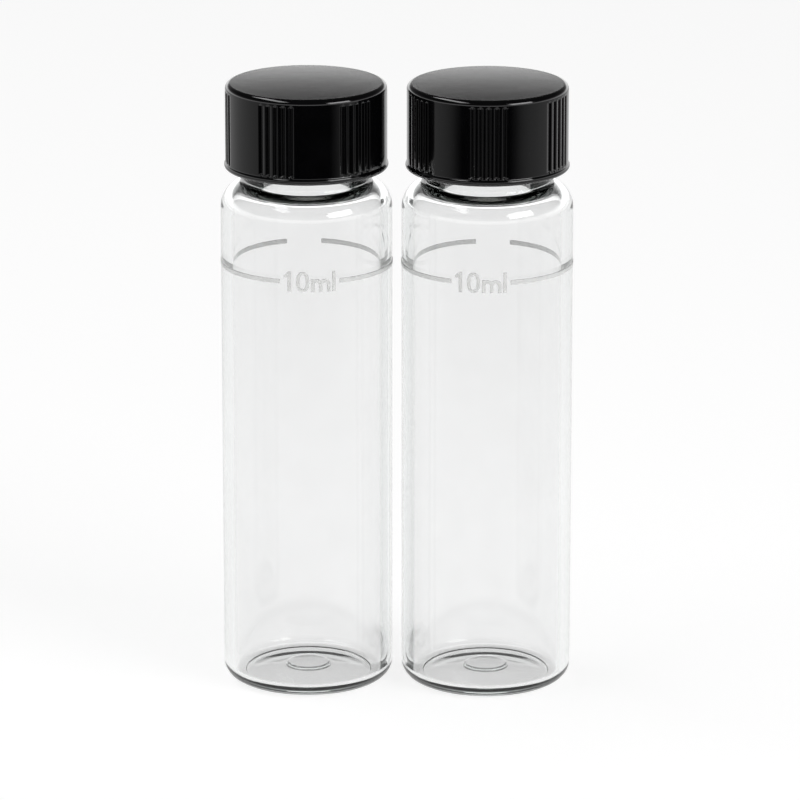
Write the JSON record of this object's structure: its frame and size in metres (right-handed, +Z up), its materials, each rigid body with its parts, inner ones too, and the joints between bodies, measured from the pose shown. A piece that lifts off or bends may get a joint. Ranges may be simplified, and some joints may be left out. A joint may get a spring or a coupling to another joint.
{
  "type": "water test kit",
  "caption": "Clear glass sample vials standing side by side, with printed fill lines and ribbed black screw caps that unscrew, for testing pool water.",
  "frame": {"origin": "on the table, midway between the axes of the two vials, level with the flat rings of their feet", "axes": "+X from the left vial's axis to the right vial's, +Y from the front, where the volume marks are, to the back, +Z up along the vials"},
  "size_m": [0.039, 0.019, 0.0687],
  "materials": {
    "clear_glass": "clear, smooth, with a faint grey-green tint",
    "grey_enamel": "light grey printed enamel, semi-matt",
    "black_plastic": "glossy moulded black, satin on top",
    "liner_foam": "white closed-cell foam",
    "liner_film": "smooth white film"
  },
  "bodies": {
    "left_vial": {"left_vial_glass": "clear_glass", "left_fill_line": "grey_enamel", "left_volume_mark": "grey_enamel"},
    "right_vial": {"right_vial_glass": "clear_glass", "right_fill_line": "grey_enamel", "right_volume_mark": "grey_enamel"},
    "left_liner": {"left_liner_pad": "liner_foam", "left_liner_facing": "liner_film"},
    "right_liner": {"right_liner_pad": "liner_foam", "right_liner_facing": "liner_film"},
    "left_cap": {"left_cap_shell": "black_plastic"},
    "right_cap": {"right_cap_shell": "black_plastic"}
  },
  "joints": [
    {"name": "left_cap_rise", "type": "slide", "parent": "left_vial", "child": "left_liner", "axis": [0, 0, 1], "range_m": [0, 0.0106]},
    {"name": "left_cap_turn", "type": "hinge", "parent": "left_liner", "child": "left_cap", "pos_m": [-0.01, 0, 0.0637], "axis": [0, 0, 1], "range_deg": [0, 1800]},
    {"name": "right_cap_rise", "type": "slide", "parent": "right_vial", "child": "right_liner", "axis": [0, 0, 1], "range_m": [0, 0.0106]},
    {"name": "right_cap_turn", "type": "hinge", "parent": "right_liner", "child": "right_cap", "pos_m": [0.01, 0, 0.0637], "axis": [0, 0, 1], "range_deg": [0, 1800]},
    {"name": "right_vial_lift", "type": "slide", "parent": "left_vial", "child": "right_vial", "axis": [0, 0, 1], "range_m": [0, 0.08]}
  ],
  "couplings": [
    {"joint": "left_cap_rise", "follows": "left_cap_turn", "m_per_rad": 0.00033688},
    {"joint": "right_cap_rise", "follows": "right_cap_turn", "m_per_rad": 0.00033688}
  ]
}
